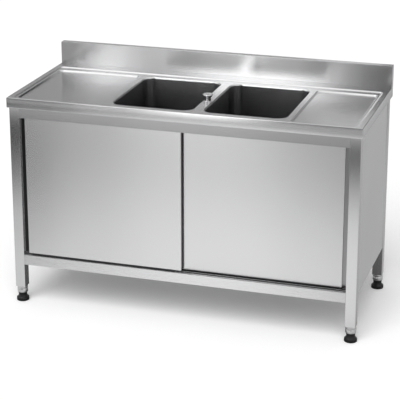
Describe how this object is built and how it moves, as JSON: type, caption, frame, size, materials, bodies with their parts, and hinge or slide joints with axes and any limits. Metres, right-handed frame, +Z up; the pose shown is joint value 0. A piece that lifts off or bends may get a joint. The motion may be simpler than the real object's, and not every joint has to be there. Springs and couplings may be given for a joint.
{
  "type": "kitchen sink unit",
  "caption": "Free-standing stainless-steel sink cabinet: bowls between drainboards, a raised back edge, square legs on adjustable feet, and doors that slide past each other.",
  "frame": {"origin": "on the floor, under the middle of the worktop", "axes": "+X to the right seen from the front, +Y to the back, +Z up; the doors face -Y"},
  "size_m": [1.4, 0.6, 0.94],
  "materials": {
    "worktop_steel": "brushed, grain along the length",
    "bowl_steel": "satin, drawn",
    "frame_steel": "brushed",
    "panel_steel": "brushed",
    "door_steel": "brushed",
    "inner_steel": "mill finish",
    "track_steel": "plain",
    "bracket_steel": "zinc plated",
    "sleeve_steel": "turned",
    "bright_chrome": "polished",
    "black_plastic": "moulded, fine texture",
    "grey_plastic": "smooth",
    "white_nylon": "smooth",
    "core_board": "raw board"
  },
  "bodies": {
    "cabinet": {"worktop": "worktop_steel", "bowl_frame": "worktop_steel", "upstand": "worktop_steel", "drainboard_left": "worktop_steel", "drainboard_right": "worktop_steel", "bowl_left": "bowl_steel", "bowl_right": "bowl_steel", "tap_hole_cap": "bright_chrome", "waste_seat_left": "bright_chrome", "waste_seat_right": "bright_chrome", "tap_hole_nut": "bracket_steel", "cross_pipe": "grey_plastic", "drain_tee": "grey_plastic", "bottle_trap": "grey_plastic", "outlet_pipe": "grey_plastic", "leg_front_left": "frame_steel", "leg_front_right": "frame_steel", "leg_rear_left": "frame_steel", "leg_rear_right": "frame_steel", "sleeve_front_left": "sleeve_steel", "sleeve_front_right": "sleeve_steel", "sleeve_rear_left": "sleeve_steel", "sleeve_rear_right": "sleeve_steel", "top_rail_front": "frame_steel", "top_rail_rear": "frame_steel", "bottom_rail_front": "frame_steel", "bottom_rail_rear": "frame_steel", "top_rail_left": "frame_steel", "top_rail_right": "frame_steel", "bottom_shelf": "inner_steel", "shelf_stiffener": "inner_steel", "back_panel": "inner_steel", "top_stiffener_left": "inner_steel", "top_stiffener_right": "inner_steel", "upper_track": "track_steel", "lower_guide": "track_steel", "side_panel_left": "panel_steel", "side_panel_right": "panel_steel"},
    "door_left": {"door_skin_left": "door_steel", "door_core_left": "core_board", "door_back_left": "inner_steel", "guide_shoe_left": "white_nylon", "hanger_left_outer": "bracket_steel", "hanger_left_inner": "bracket_steel"},
    "roller_body_left_outer": {"roller_left_outer": "white_nylon"},
    "roller_body_left_inner": {"roller_left_inner": "white_nylon"},
    "overflow_left": {"overflow_pipe_left": "bright_chrome"},
    "door_right": {"door_skin_right": "door_steel", "door_core_right": "core_board", "door_back_right": "inner_steel", "guide_shoe_right": "white_nylon", "hanger_right_outer": "bracket_steel", "hanger_right_inner": "bracket_steel"},
    "roller_body_right_outer": {"roller_right_outer": "white_nylon"},
    "roller_body_right_inner": {"roller_right_inner": "white_nylon"},
    "overflow_right": {"overflow_pipe_right": "bright_chrome"},
    "foot_body_front_left": {"foot_front_left": "black_plastic"},
    "foot_body_front_right": {"foot_front_right": "black_plastic"},
    "foot_body_rear_left": {"foot_rear_left": "black_plastic"},
    "foot_body_rear_right": {"foot_rear_right": "black_plastic"}
  },
  "joints": [
    {"name": "slide_door_left", "type": "slide", "parent": "cabinet", "child": "door_left", "axis": [1, 0, 0], "range_m": [0, 0.646]},
    {"name": "slide_door_right", "type": "slide", "parent": "cabinet", "child": "door_right", "axis": [-1, 0, 0], "range_m": [0, 0.646]},
    {"name": "roll_left_outer", "type": "hinge", "parent": "door_left", "child": "roller_body_left_outer", "pos_m": [-0.571, -0.28175, 0.8255], "axis": [0, 1, 0], "continuous": true},
    {"name": "roll_left_inner", "type": "hinge", "parent": "door_left", "child": "roller_body_left_inner", "pos_m": [-0.075, -0.28175, 0.8255], "axis": [0, 1, 0], "continuous": true},
    {"name": "roll_right_outer", "type": "hinge", "parent": "door_right", "child": "roller_body_right_outer", "pos_m": [0.571, -0.26125, 0.8255], "axis": [0, 1, 0], "continuous": true},
    {"name": "roll_right_inner", "type": "hinge", "parent": "door_right", "child": "roller_body_right_inner", "pos_m": [0.075, -0.26125, 0.8255], "axis": [0, 1, 0], "continuous": true},
    {"name": "adjust_foot_front_left", "type": "slide", "parent": "cabinet", "child": "foot_body_front_left", "axis": [0, 0, -1], "range_m": [0, 0.025]},
    {"name": "adjust_foot_front_right", "type": "slide", "parent": "cabinet", "child": "foot_body_front_right", "axis": [0, 0, -1], "range_m": [0, 0.025]},
    {"name": "adjust_foot_rear_left", "type": "slide", "parent": "cabinet", "child": "foot_body_rear_left", "axis": [0, 0, -1], "range_m": [0, 0.025]},
    {"name": "adjust_foot_rear_right", "type": "slide", "parent": "cabinet", "child": "foot_body_rear_right", "axis": [0, 0, -1], "range_m": [0, 0.025]},
    {"name": "lift_overflow_left", "type": "slide", "parent": "cabinet", "child": "overflow_left", "axis": [0, 0, 1], "range_m": [0, 0.06]},
    {"name": "lift_overflow_right", "type": "slide", "parent": "cabinet", "child": "overflow_right", "axis": [0, 0, 1], "range_m": [0, 0.06]}
  ],
  "couplings": [
    {"joint": "roll_left_outer", "follows": "slide_door_left", "rad_per_m": 125},
    {"joint": "roll_left_inner", "follows": "slide_door_left", "rad_per_m": 125},
    {"joint": "roll_right_outer", "follows": "slide_door_right", "rad_per_m": -125},
    {"joint": "roll_right_inner", "follows": "slide_door_right", "rad_per_m": -125}
  ]
}
